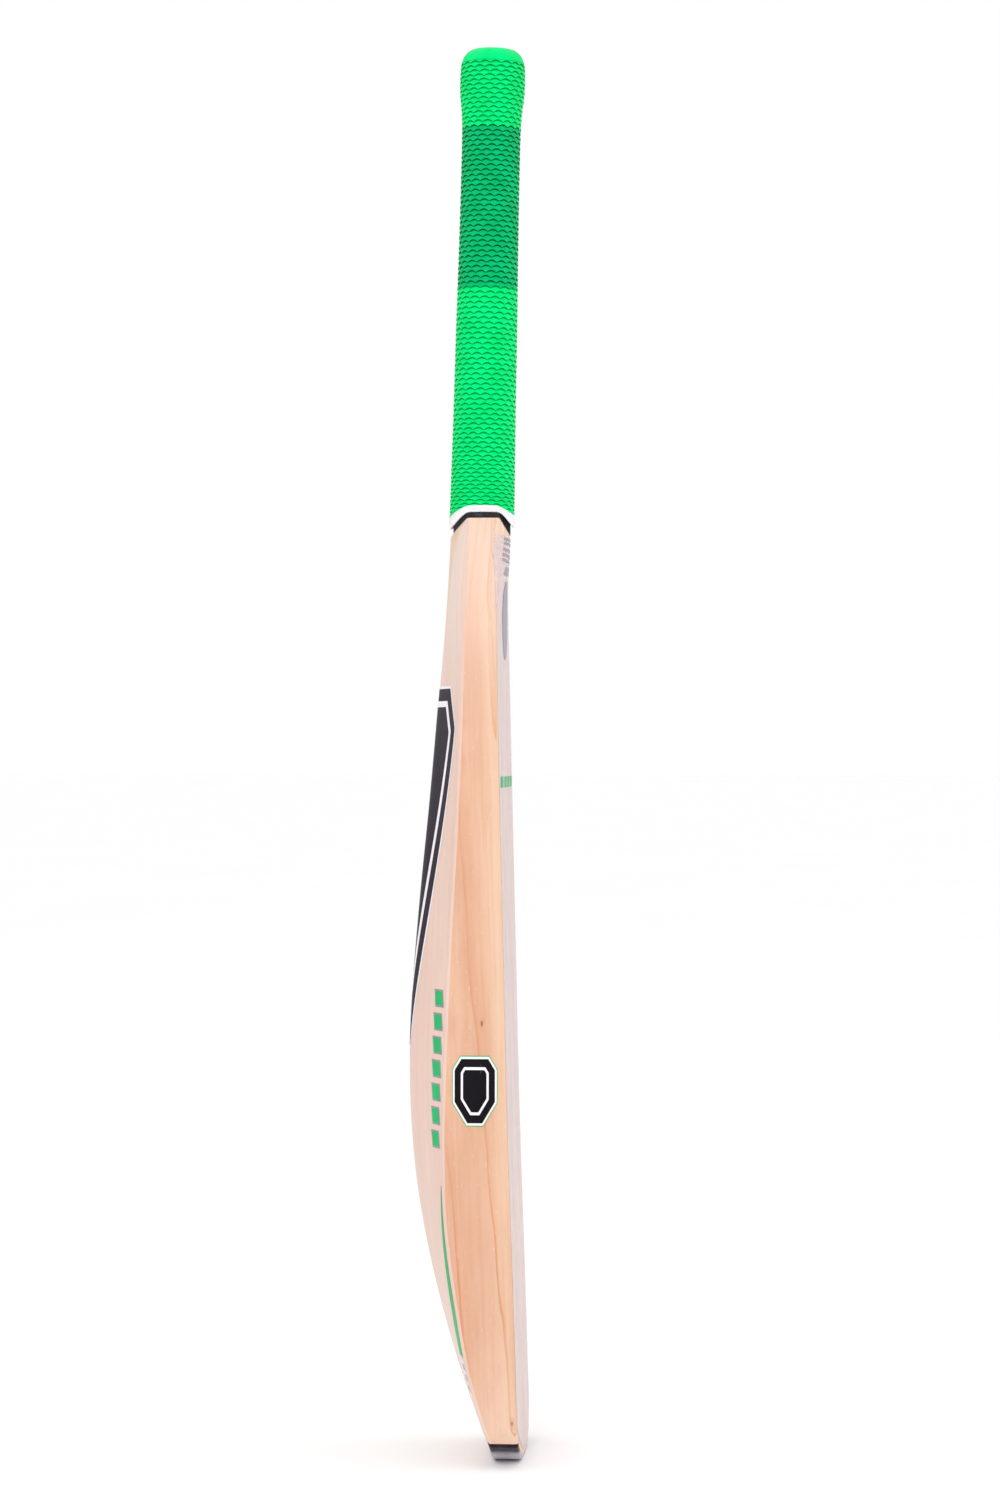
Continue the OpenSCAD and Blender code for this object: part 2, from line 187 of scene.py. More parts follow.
def add_object(name, points, faces, material, smooth_angle=None):
    mesh = bpy.data.meshes.new(name)
    mesh.from_pydata([tuple(p) for p in np.asarray(points) * MM], [], [tuple(f) for f in faces])
    mesh.validate()
    made = bpy.data.objects.new(name, mesh)
    bpy.context.scene.collection.objects.link(made)
    mesh.materials.append(material)
    shade(mesh, smooth_angle)
    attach(made, ROOT)
    return made


def shade(mesh, smooth_angle=None):
    """Smooth shading, with edges sharper than the angle left crisp."""
    bm = bmesh.new()
    bm.from_mesh(mesh)
    bmesh.ops.recalc_face_normals(bm, faces=bm.faces)
    for face in bm.faces:
        face.smooth = True
    if smooth_angle is not None:
        limit = math.radians(smooth_angle)
        for edge in bm.edges:
            edge.smooth = len(edge.link_faces) == 2 and edge.calc_face_angle(0) < limit
    bm.to_mesh(mesh)
    bm.free()


def ring_faces(rows, cols, closed=True):
    """Quads between neighbouring rows of points."""
    last = cols if closed else cols - 1
    return [(r * cols + c, r * cols + (c + 1) % cols, (r + 1) * cols + (c + 1) % cols,
             (r + 1) * cols + c) for r in range(rows - 1) for c in range(last)]


# ---- Materials -------------------------------------------------------------------------

class Nodes:
    """A short way to write a node tree."""

    def __init__(self, name, attribute=None):
        self.material = bpy.data.materials.new(name)
        self.material.use_nodes = True
        self.tree = self.material.node_tree
        self.shader = self.tree.nodes["Principled BSDF"]
        if attribute:
            self.where = self.add("ShaderNodeAttribute", attribute_name=attribute).outputs["Vector"]
        else:
            self.where = self.add("ShaderNodeTexCoord").outputs["Object"]

    def link(self, socket, value):
        if isinstance(value, bpy.types.NodeSocket):
            self.tree.links.new(value, socket)
        elif socket.type == "RGBA":
            socket.default_value = (*value, 1)
        else:
            socket.default_value = value

    def add(self, kind, inputs=None, **settings):
        node = self.tree.nodes.new(kind)
        for key, value in settings.items():
            setattr(node, key, value)
        for key, value in (inputs or {}).items():
            self.link(node.inputs[key], value)
        return node

    def place(self, scale=(1, 1, 1), shift=(0, 0, 0)):
        """Where the point is, in metres, times a scale."""
        return self.add("ShaderNodeMapping", {"Vector": self.where, "Scale": scale,
                        "Location": shift}).outputs["Vector"]

    def noise(self, scale, detail=2.0, rough=0.5, spread=(1, 1, 1), shift=(0, 0, 0)):
        return self.add("ShaderNodeTexNoise", {"Vector": self.place(spread, shift), "Scale": scale,
                        "Detail": detail, "Roughness": rough}).outputs["Fac"]

    def cells(self, scale, spread=(1, 1, 1), output="Distance"):
        return self.add("ShaderNodeTexVoronoi", {"Vector": self.place(spread),
                        "Scale": scale}).outputs[output]

    def math(self, operation, a, b=0.0, c=0.0):
        return self.add("ShaderNodeMath", {0: a, 1: b, 2: c}, operation=operation).outputs[0]

    def ramp(self, value, low, high, start=0.0, end=1.0):
        return self.add("ShaderNodeMapRange", {"Value": value, "From Min": low, "From Max": high,
                        "To Min": start, "To Max": end}, interpolation_type="SMOOTHSTEP").outputs[0]

    def mix(self, amount, a, b, blend="MIX"):
        node = self.add("ShaderNodeMix", data_type="RGBA", blend_type=blend)
        for index, value in ((0, amount), (6, a), (7, b)):
            self.link(node.inputs[index], value)
        return node.outputs[2]

    def bump(self, height, strength, distance):
        normal = self.add("ShaderNodeBump", {"Height": height, "Strength": strength,
                          "Distance": distance}).outputs["Normal"]
        self.tree.links.new(normal, self.shader.inputs["Normal"])

    def set(self, **values):
        for key, value in values.items():
            self.link(self.shader.inputs[key.replace("_", " ")], value)
        return self.material


def srgb(r, g, b):
    """A colour given as 0 to 255 on a screen."""
    return tuple(v / 255 / 12.92 if v / 255 <= 0.04045 else ((v / 255 + 0.055) / 1.055) ** 2.4
                 for v in (r, g, b))


def willow_material(name, milky=0.0):
    """Willow with growth rings that climb the blade; milky is how far the colour is paled towards
    whitish, a painted reflection, with more coat.
    """
    n = Nodes(name, "grain")
    split = n.add("ShaderNodeSeparateXYZ", {"Vector": n.where}).outputs
    wander = n.noise(1.0, 2.0, 0.5, (30, 30, 7))
    wiggle = n.noise(1.0, 2.0, 0.6, (90, 90, 26))
    across = n.math("MULTIPLY_ADD", split[1], 0.36, split[0])
    lean = n.math("MULTIPLY_ADD", split[2], -0.021, across)
    warped = n.math("MULTIPLY_ADD", wander, 0.0045, lean)
    warped = n.math("MULTIPLY_ADD", wiggle, 0.0012, warped)
    rings = n.math("FRACT", n.math("MULTIPLY_ADD", warped, 1 / RING_PITCH, RING_PHASE))
    fresh = n.ramp(rings, 0.985, 0.97)
    late = n.math("MULTIPLY", n.ramp(rings, 0.45, 0.965), fresh)
    line = n.math("MULTIPLY", n.ramp(rings, 0.90, 0.965), fresh)
    fade = n.noise(1.0, 2.0, 0.5, (60, 60, 9), (3, 1, 2))
    line = n.math("MULTIPLY", line, n.ramp(fade, 0.38, 0.62, 0.35, 1.0))
    line = n.math("MULTIPLY", line, n.ramp(split[2], 0.47, 0.40, 0.25, 1.0))
    broad = n.noise(1.0, 3.0, 0.55, (42, 42, 8), (1, 5, 2))
    blotch = n.noise(1.0, 3.0, 0.6, (70, 70, 34), (7, 2, 1))
    streak = n.noise(1.0, 3.0, 0.6, (420, 420, 9))
    fibre = n.noise(1.0, 2.0, 0.7, (1500, 1500, 60))
    fleck = n.noise(1.0, 2.0, 0.6, (700, 700, 240), (2, 2, 2))
    base = n.mix(n.ramp(broad, 0.32, 0.68), srgb(214, 163, 133), srgb(225, 179, 150))
    base = n.mix(n.ramp(blotch, 0.5, 0.75, 0, 0.45), base, srgb(209, 153, 125))
    # Paler sapwood along the front corners. Paler towards the shoulders and the toe: painted light,
    # where more light falls on the ends.
    corner = n.math("MULTIPLY", n.ramp(split[1], 0.012, 0.004),
                    n.ramp(n.math("ABSOLUTE", split[0]), 0.046, 0.052))
    base = n.mix(n.math("MULTIPLY", corner, 0.5), base, srgb(231, 200, 170))
    painted_light_ends = n.math("ADD", n.ramp(split[2], 0.44, 0.56, 0, 0.62), n.ramp(split[2], 0.09, 0.0, 0, 0.42))
    base = n.mix(painted_light_ends, base, srgb(246, 220, 202))
    base = n.mix(n.math("MULTIPLY", late, 0.2), base, srgb(214, 152, 114))
    base = n.mix(n.math("MULTIPLY", line, 0.6), base, srgb(206, 126, 78))
    base = n.mix(n.ramp(streak, 0.48, 0.8, 0, 0.46), base, srgb(210, 154, 119))
    base = n.mix(n.ramp(streak, 0.46, 0.2, 0, 0.35), base, srgb(234, 202, 178))
    base = n.mix(n.ramp(fibre, 0.55, 0.85, 0, 0.35), base, srgb(204, 150, 116))
    base = n.mix(n.ramp(fleck, 0.62, 0.8, 0, 0.4), base, srgb(240, 214, 194))
    knot = n.cells(30.0, (1, 1, 0.45))
    base = n.mix(n.ramp(knot, 0.085, 0.02, 0, 0.35), base, srgb(206, 140, 90))
    base = n.mix(n.ramp(knot, 0.032, 0.018, 0, 0.8), base, srgb(122, 92, 58))
    # Painted reflection: milky pales the colour towards whitish.
    base = n.mix(milky, base, srgb(238, 220, 214))
    n.bump(n.math("MULTIPLY_ADD", fibre, 0.6, streak), 0.18, 0.00012)
    return n.set(Base_Color=base, Roughness=n.ramp(fibre, 0.2, 0.8, 0.42, 0.54),
                 Specular_IOR_Level=0.35, Coat_Weight=0.12 + milky * 0.6, Coat_Roughness=0.22)


def cane_material():
    n = Nodes("cane")
    fibre = n.noise(1.0, 3.0, 0.6, (600, 600, 20))
    pores = n.cells(1.0, (1600, 1600, 50))
    base = n.mix(n.ramp(fibre, 0.3, 0.7), srgb(234, 206, 182), srgb(224, 190, 162))
    base = n.mix(n.ramp(pores, 0.25, 0.05, 0, 0.5), base, srgb(166, 124, 92))
    n.bump(fibre, 0.3, 0.0001)
    return n.set(Base_Color=base, Roughness=0.5, Specular_IOR_Level=0.35, Coat_Weight=0.15,
                 Coat_Roughness=0.25)


def rubber_material(name, colour, other, roughness, shine=0.3):
    n = Nodes(name)
    speck = n.noise(900.0, 3.0, 0.6)
    patch = n.noise(45.0, 3.0, 0.6)
    scuff = n.noise(1.0, 2.0, 0.6, (240, 240, 700), (1, 4, 2))
    base = n.mix(n.ramp(patch, 0.3, 0.7), srgb(*colour), srgb(*other))
    base = n.mix(n.ramp(scuff, 0.66, 0.8, 0, 0.2), base, srgb(168, 160, 166))
    n.bump(speck, 0.15, 0.0001)
    return n.set(Base_Color=base, Roughness=n.ramp(speck, 0.3, 0.7, roughness - 0.06, roughness + 0.06),
                 Specular_IOR_Level=shine)


def toe_material():
    """Black rubber, paler at the bottom where it rests on the ground: a painted reflection of the pale
    floor, broken up by scuffs.
    """
    n = Nodes("toe_rubber")
    height = n.add("ShaderNodeSeparateXYZ", {"Vector": n.where}).outputs[2]
    speck = n.noise(900.0, 3.0, 0.6)
    scuff = n.noise(1.0, 3.0, 0.6, (160, 160, 420), (1, 4, 2))
    base = n.mix(n.ramp(scuff, 0.35, 0.65), srgb(42, 36, 46), srgb(60, 53, 64))
    # Painted reflection: the bottom band is paled towards grey, with scuffs breaking it up.
    scuffs_and_floor_reflection = n.math("MULTIPLY", n.ramp(height, 0.0105, 0.006), n.ramp(scuff, 0.2, 0.55, 0.55, 0.95))
    base = n.mix(scuffs_and_floor_reflection, base, srgb(196, 188, 196))
    n.bump(speck, 0.15, 0.0001)
    return n.set(Base_Color=base, Roughness=n.ramp(speck, 0.3, 0.7, 0.46, 0.58), Specular_IOR_Level=0.3)


def grip_material():
    """Bright and dark rubber, told apart by the tone stored on the mesh, with painted shade in its
    creases and painted glints.
    """
    n = Nodes("grip_rubber")
    stored = n.add("ShaderNodeAttribute", attribute_name="grip_tone").outputs["Color"]
    tone = n.add("ShaderNodeSeparateColor", {"Color": stored}).outputs
    speck = n.noise(1500.0, 3.0, 0.6)
    patch = n.noise(70.0, 3.0, 0.6)
    painted_glints = n.noise(1900.0, 1.0, 0.4, (1, 1, 1), (3, 7, 1))
    bright = n.mix(n.ramp(patch, 0.3, 0.7), srgb(0, 221, 116), srgb(0, 233, 130))
    dark = n.mix(n.ramp(patch, 0.3, 0.7), srgb(0, 176, 100), srgb(0, 190, 114))
    base = n.mix(tone[0], bright, dark)
    # Painted shade: the groove under each scale's lip is darkened.
    shaded_groove = n.mix(tone[0], srgb(0, 140, 46), srgb(0, 74, 34))
    base = n.mix(n.math("MULTIPLY", tone[1], 0.95), base, shaded_groove)
    # Painted glints: tiny pale specks.
    base = n.mix(n.ramp(painted_glints, 0.76, 0.82, 0, 0.55), base, srgb(186, 232, 202))
    n.bump(speck, 0.12, 0.0001)
    return n.set(Base_Color=base, Roughness=n.ramp(speck, 0.3, 0.7, 0.34, 0.44),
                 Specular_IOR_Level=0.1, Specular_Tint=(0.3, 1.0, 0.62))


def film_material():
    """Clear sheet with fine threads in it, milky over the wood."""
    n = Nodes("face_film")
    thread = n.noise(1.0, 2.0, 0.5, (900, 900, 6))
    cloud = n.noise(1.0, 3.0, 0.6, (60, 60, 9), (2, 2, 5))
    base = n.mix(n.ramp(thread, 0.35, 0.65), srgb(242, 222, 220), srgb(250, 233, 232))
    n.bump(thread, 0.15, 0.00008)
    milky_share = n.math("MULTIPLY_ADD", cloud, 0.16, n.ramp(thread, 0.3, 0.7, 0.40, 0.47))
    return n.set(Base_Color=base, Alpha=milky_share, Roughness=0.3, Specular_IOR_Level=0.5,
                 Coat_Weight=0.25, Coat_Roughness=0.15)


def sticker_material(name, colour, other, roughness=0.42, coat=0.1, shine=0.3):
    n = Nodes(name)
    grain = n.noise(1200.0, 2.0, 0.5)
    fade = n.noise(1.0, 3.0, 0.6, (60, 60, 12))
    scratch = n.noise(1.0, 2.0, 0.6, (900, 900, 70), (4, 4, 4))
    base = n.mix(n.ramp(fade, 0.3, 0.7), srgb(*colour), srgb(*other))
    base = n.mix(n.ramp(scratch, 0.7, 0.8, 0, 0.12), base, srgb(214, 206, 212))
    n.bump(grain, 0.08, 0.00005)
    return n.set(Base_Color=base, Roughness=n.ramp(grain, 0.3, 0.7, roughness - 0.04, roughness + 0.04),
                 Specular_IOR_Level=shine, Coat_Weight=coat, Coat_Roughness=0.2)


def floor_material():
    n = Nodes("floor")
    mottle = n.noise(1.5, 2.0, 0.5)
    base = n.mix(mottle, (0.93, 0.93, 0.93), (0.95, 0.95, 0.95))
    return n.set(Base_Color=base, Roughness=0.9, Specular_IOR_Level=0.1)


# ---- Blade -----------------------------------------------------------------------------

def toe_width(z):
    """Half width of the toe's outline at a height above the guard."""
    drop = max(0.0, TOE_CORNER_Z - z)
    return TOE_CORNER_X + math.sqrt(TOE_CORNER_R ** 2 - drop ** 2)


def blade_ring(z):
    """The section at z, or low down a ring that bends to follow the toe guard."""
    ring = section(z)
    if z >= TOE_BLEND:
        return np.column_stack([ring, np.full(len(ring), z)])
    share = z / TOE_BLEND
    squeeze = toe_width(GUARD_TOP + (TOE_BLEND - GUARD_TOP) * share) / HALF_W
    bottom = np.minimum(toe_bottom(ring[:, 0] * squeeze, GUARD_T), GUARD_TOP)
    height = bottom + (TOE_BLEND - bottom) * share
    return np.array([(*section_point(i, h, squeeze), h) for i, h in enumerate(height)])


def section_point(index, z, squeeze=1.0):
    """One point of the section at a height, with the width squeezed."""
    key = round(float(z), 2)
    if key not in SECTIONS:
        SECTIONS[key] = section(key)
    x, y = SECTIONS[key][index]
    return x * squeeze, y


def section_between(index, z):
    """A point of the section at a height, part of the way between two of its points."""
    first = int(index)
    a, b = section_point(first, z), section_point(first + 1, z)
    return tuple(a[k] + (b[k] - a[k]) * (index - first) for k in (0, 1))


def build_blade(bare, painted_sheen_wood):
    heights = np.concatenate([np.linspace(0, TOE_BLEND, 28), np.linspace(63, 575, 172)])
    rows = [blade_ring(z) for z in heights]
    cols = len(rows[0])
    faces = ring_faces(len(rows), cols)
    for row in (0, len(rows) - 1):
        start = row * cols
        for i in range(cols // 2):
            quad = [start + i, start + i + 1, start + (cols - i - 1) % cols, start + (cols - i) % cols]
            faces.append(list(dict.fromkeys(quad)))
    blade = add_object("willow_blade", np.concatenate(rows), faces, bare, 28)
    blade.data.materials.append(painted_sheen_wood)
    first = FACE_N + CORNER_N + EDGE_N
    # The back corners and the flank take the copy paled by a painted reflection.
    milky_share = [first <= i % cols < cols - first and i < (len(rows) - 1) * cols for i in range(len(faces))]
    blade.data.polygons.foreach_set("material_index", np.array(milky_share, np.int32))
    cut_wood_top(blade)
    cut_splice(blade)
    shade(blade.data, 28)
    store_grain(blade.data)
    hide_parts("blade")


def store_grain(mesh):
    """Keeps each point's place for the grain: X as on the full width, Y from the hitting face."""
    flat = np.empty(len(mesh.vertices) * 3)
    mesh.vertices.foreach_get("co", flat)
    place = flat.reshape(-1, 3)
    place[:, 0] *= HALF_W / blade_half(place[:, 2] / MM)
    place[:, 1] -= curve(FACE_Y, place[:, 2] / MM) * MM
    mesh.attributes.new("grain", "FLOAT_VECTOR", "POINT").data.foreach_set("vector", place.ravel())


def cut_wood_top(blade):
    """Cuts the shoulders off along the three planes of the wood's top."""
    bm = bmesh.new()
    bm.from_mesh(blade.data)
    for (y0, z0), (y1, z1) in zip(WOOD_TOP[:-1], WOOD_TOP[1:]):
        normal = Vector((0, z0 - z1, y1 - y0)).normalized()
        cut = bmesh.ops.bisect_plane(bm, geom=bm.verts[:] + bm.edges[:] + bm.faces[:],
                                     plane_co=Vector((0, y0, z0)) * MM, plane_no=normal,
                                     clear_outer=True)
        edges = [g for g in cut["geom_cut"] if isinstance(g, bmesh.types.BMEdge)]
        bmesh.ops.holes_fill(bm, edges=edges, sides=0)
    bm.to_mesh(blade.data)
    bm.free()


def cut_splice(blade):
    """Cuts the V socket for the handle's splice right through the blade."""
    reach = 80.0
    top = SHOULDER_Z - AXIS_Z
    outline = [(-SPLICE_TIP, -SPLICE_L), (SPLICE_TIP, -SPLICE_L), (SPLICE_HALF, top),
               (SPLICE_HALF, 40), (-SPLICE_HALF, 40), (-SPLICE_HALF, top)]
    points = [in_handle(x, side * reach, along) * MM for side in (-1, 1) for x, along in outline]
    n = len(outline)
    faces = [tuple(range(n)), tuple(range(2 * n - 1, n - 1, -1))]
    faces += [((i + 1) % n, i, n + i, n + (i + 1) % n) for i in range(n)]
    mesh = bpy.data.meshes.new("socket_cutter")
    mesh.from_pydata([tuple(p) for p in points], [], faces)
    cutter = bpy.data.objects.new("socket_cutter", mesh)
    bpy.context.scene.collection.objects.link(cutter)
    change = blade.modifiers.new("socket", "BOOLEAN")
    change.object = cutter
    change.operation = "DIFFERENCE"
    change.solver = "EXACT"
    bpy.context.view_layer.update()
    made = bpy.data.meshes.new_from_object(
        blade.evaluated_get(bpy.context.evaluated_depsgraph_get()))
    blade.modifiers.clear()
    blade.data = made
    bpy.data.objects.remove(cutter)


# ---- Toe guard -------------------------------------------------------------------------

def build_toe_guard(material):
    """The rubber strip round the toe: one section swept along the toe's outline."""
    end = math.acos((TOE_CORNER_Z - GUARD_TOP) / (TOE_CORNER_R - GUARD_T))
    half = [(x, 0.0) for x in np.linspace(0, TOE_FLAT, 6)[:-1]]
    half += [(TOE_FLAT, a) for a in np.linspace(0, TOE_TURN, 14)]
    half += [(TOE_CORNER_X, a) for a in np.linspace(TOE_TURN, end, 10)[1:]]
    stations = [(-x, -a) for x, a in half[:0:-1]] + half
    rows = []
    for x0, a in stations:
        turn = abs(a)
        if abs(x0) == TOE_CORNER_X:
            centre, radius = TOE_CORNER_Z, TOE_CORNER_R
        else:
            centre, radius = TOE_R, TOE_R
        points = []
        for side in (-1, 1):
            for inset, d in ((0.0, 0.0), (0.05, 0.3), (0.2, 0.75), (0.55, 0.93), (1.3, 1.0)):
                r = radius - GUARD_T * (1 - d)
                x = x0 + math.copysign(r * math.sin(turn), a if a else 1) if turn else x0
                z = centre - r * math.cos(turn) if turn else GUARD_T * (1 - d)
                z_in = max(min(z, GUARD_TOP), 0)
                y = (float(face_y(x, z_in)) + inset if side < 0 else float(back_y(x, z_in)) - inset)
                points.append((x, y, z))
        points = points[:5] + points[:4:-1]
        rows.append(np.array(points))
    cols = len(rows[0])
    faces = ring_faces(len(rows), cols)
    faces += [tuple(range(cols)), tuple(range(len(rows) * cols - 1, (len(rows) - 1) * cols - 1, -1))]
    guard = add_object("toe_guard_rubber", np.concatenate(rows), faces, material, 40)
    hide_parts("toe_guard")


# ---- Grip ------------------------------------------------------------------------------

SCALES_ROUND = 18          # scales in one row round the grip
SCALE_COLS = 14            # points across one scale
ARC_DROP = 1.5             # how far each scale's rounded top falls at its sides
SCALE_STEP = 0.75          # how far a scale's lower lip stands over the next row
TWIST = 0.00124            # turn of the columns of scales, in radians a millimetre
FIRST_ARC = 271.85         # distance up the handle of the top row of scales
ROW_PITCH = [(0, 2.75), (12, 2.75), (22, 3.02), (70, 3.02), (88, 2.4), (110, 2.0)]
DARK_FROM, DARK_TO = 15, 47                            # rows of the dark zone
RIM = [(LIP_Z - 0.4, LIP_R + 1.6), (LIP_Z + 0.2, LIP_R + 0.2), (HANDLE_L - 0.9, LIP_R),
       (HANDLE_L - 0.25, LIP_R + 0.3), (HANDLE_L, LIP_R + 1.0), (HANDLE_L - 0.1, 12.9),
       (HANDLE_L - 0.6, 14.2), (HANDLE_L - 1.6, 15.6), (HANDLE_L - 3.0, 16.9),
       (HANDLE_L - 4.6, 17.9), (HANDLE_L - 6.4, 18.6), (HANDLE_L - 8.2, 19.1)]


def scale_rows():
    """Each row's place across its scales, the height of its rounded tops and its size."""
    turn = np.arange(SCALES_ROUND * SCALE_COLS) / SCALE_COLS
    heights = [FIRST_ARC]
    while heights[-1] > -12:
        heights.append(heights[-1] - float(curve(ROW_PITCH, len(heights))))
    across = [(turn + 0.5 * (k % 2) + 0.5) % 1 - 0.5 for k in range(len(heights))]
    sizes = [min(1.0, float(curve(ROW_PITCH, k)) / 2.75) for k in range(len(heights))]
    arcs = [h - ARC_DROP * size * (2 * np.abs(u)) ** 1.7
            for h, size, u in zip(heights, sizes, across)]
    return turn, across, arcs, sizes


def build_grip(material):
    """The grip: rows of overlapping scales on a turned sleeve, with a smooth rim."""
    turn, across, arcs, sizes = scale_rows()
    cols = len(turn)
    rows, tones = [], []

    def add_row(along, radius, dark=0.0, crease_shade=0.0):
        along, radius = np.full(cols, along), np.full(cols, radius)
        angle = 2 * np.pi * turn / SCALES_ROUND + TWIST * (along - FIRST_ARC)
        rows.append(in_handle(radius * np.cos(angle), radius * np.sin(angle), along))
        tones.append(np.column_stack([np.full(cols, dark), np.full(cols, crease_shade)]))

    for along, radius in RIM:
        add_row(along, radius)
    add_row(arcs[0], curve(GRIP_R, arcs[0]))
    for k in range(len(arcs) - 1):
        dark = 1.0 if DARK_FROM <= k < DARK_TO else 0.0
        top, bottom = arcs[k], arcs[k + 1]
        mid, mid_next = (1 - (2 * np.abs(u)) ** 2.5 for u in across[k:k + 2])
        step_here, step_next = SCALE_STEP * (0.35 + 0.65 * mid), SCALE_STEP * (0.35 + 0.65 * mid_next)
        shaded_groove = (0.36 + 0.46 * mid) * sizes[k]
        # These two rows are sunk and also carry painted shade.
        add_row(top - 0.10, curve(GRIP_R, top) - step_here, dark, 1.0)
        add_row(top - shaded_groove, curve(GRIP_R, top) - step_here, dark, 1.0)
        start = top - shaded_groove - 0.2 * sizes[k]
        add_row(start, curve(GRIP_R, top) - step_here * 0.8, dark)
        for t, rise in ((0.35, 0.45), (0.68, 0.78), (0.9, 0.97), (1.0, 1.0)):
            along = start + (bottom - start) * t
            sunk = step_here * 0.8 * (1 - rise)
            lip = 0.10 * step_next * (t > 0.8) * (t < 1)
            add_row(along, curve(GRIP_R, along) - sunk + lip, dark)
    add_row(-14.0, float(curve(CANE_R, 0)) + TWINE_T + 0.3)
    points = np.concatenate(rows)
    points[:, 2] = np.maximum(points[:, 2], arch(CUFF_TOP, points[:, 1]) - 1.2)
    grip = add_object("grip_sleeve", points, ring_faces(len(rows), cols), material, 50)
    store_tones(grip.data, np.concatenate(tones))
    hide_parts("grip")


def store_tones(mesh, tones):
    """Keeps each point's tone and its share of painted shade for the material to read."""
    colour = np.ones((len(tones), 4), np.float32)
    colour[:, :2] = tones
    mesh.color_attributes.new("grip_tone", "FLOAT_COLOR", "POINT").data.foreach_set(
        "color", colour.ravel())


# ---- Cuff and twine --------------------------------------------------------------------

def build_cuff(material):
    """The cuff's band: rounded edges with two shallow grooves between them."""
    cols = 180
    angle = 2 * np.pi * np.arange(cols) / cols
    profile = [(0.0, 17.6), (0.0, 18.5), (0.03, 19.1), (0.10, 19.55), (0.22, 19.85), (0.32, 19.85),
               (0.36, 19.62), (0.40, 19.85), (0.56, 19.95), (0.62, 19.92), (0.66, 19.66), (0.70, 19.88),
               (0.86, 19.8), (0.95, 19.45), (1.0, 18.9), (1.0, 17.6)]
    rows = []
    for v, r in profile:
        x, y = r * np.cos(angle), AXIS_Y + 0.15 + r * np.sin(angle)
        low, high = arch(CUFF_LOW, y), arch(CUFF_TOP, y)
        rows.append(np.column_stack([x, y, low + (high - low) * v]))
    faces = [tuple(i % (len(rows) * cols) for i in f) for f in ring_faces(len(rows) + 1, cols)]
    cuff = add_object("cuff_ring", np.concatenate(rows), faces, material, 60)
    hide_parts("grip_cuff")


def build_twine(material):
    """Turns of thread that follow the wood's top edge, and the plain sleeve under the grip."""
    cols, turns, per_turn, pitch = 216, 17, 6, 0.86
    angle = 2 * np.pi * np.arange(cols) / cols
    rows = []

    def follow_wood(radius, rise):
        y = AXIS_Y + 0.2 + radius * np.sin(angle)
        rows.append(np.column_stack([radius * np.cos(angle), y, arch(WOOD_TOP, y, 1.2) + rise]))

    def follow_handle(along, gap):
        radius = float(curve(CANE_R, along)) + gap
        rows.append(in_handle(radius * np.cos(angle), radius * np.sin(angle), np.full(cols, along)))

    for i in range(turns * per_turn + 1):
        swell = math.sqrt(max(0.0, 1 - (2 * (i % per_turn) / per_turn - 1) ** 2))
        strand = 0.1 * np.sin(angle * 60 + i * 2.4)
        follow_wood(17.0 + (0.42 + strand) * swell, pitch * i / per_turn)
    for along in (16.0, 100.0, 200.0, 250.0, LIP_Z):
        follow_handle(along, TWINE_T - 0.05)
    for along in (LIP_Z, 250.0, 200.0, 100.0, 12.0, -9.0):
        follow_handle(along, 0.02)
    follow_wood(16.75, 0)
    faces = [tuple(i % (len(rows) * cols) for i in f) for f in ring_faces(len(rows) + 1, cols)]
    twine = add_object("twine_turns", np.concatenate(rows), faces, material, 70)
    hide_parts("twine_binding")


# ---- Film and stickers -----------------------------------------------------------------

FILM_T = 0.25
LIFT = 0.1                 # gap between a sheet and the surface under it
LAYER_T = 0.06             # thickness of one layer of a sticker


def sheet(name, material, low, high, left, right, place, out, lift=LIFT, thick=0.12,
          rows=60, cols=24):
    """A thin closed sheet between two limits across, row by row, lifted off the surface."""
    out = np.array(out, float)
    flat = [np.column_stack(place(np.linspace(left(z), right(z), cols + 1), np.full(cols + 1, z)))
            for z in np.linspace(low, high, rows + 1)]
    return closed_sheet(name, [row + out * lift for row in flat],
                        [row + out * (lift + thick) for row in flat], material)


def closed_sheet(name, inner, outer, material):
    """Two grids of points joined round their rims."""
    rows, cols = len(inner), len(inner[0])
    count = rows * cols
    rim = list(range(cols)) + [r * cols + cols - 1 for r in range(1, rows)]
    rim += [(rows - 1) * cols + c for c in range(cols - 2, -1, -1)]
    rim += [r * cols for r in range(rows - 2, 0, -1)]
    faces = ring_faces(rows, cols, closed=False)
    faces += [tuple(i + count for i in reversed(f)) for f in faces]
    faces += [(a, b, b + count, a + count) for a, b in zip(rim, rim[1:] + rim[:1])]
    return add_object(name, np.concatenate(inner + outer), faces, material, 40)


def on_face(x, z):
    return x, face_y(x, z), z


def on_back(x, z):
    return x, back_y(x, z), z


def on_left(y, z):
    return -blade_half(z), y, z


def on_right(y, z):
    return blade_half(z), y, z


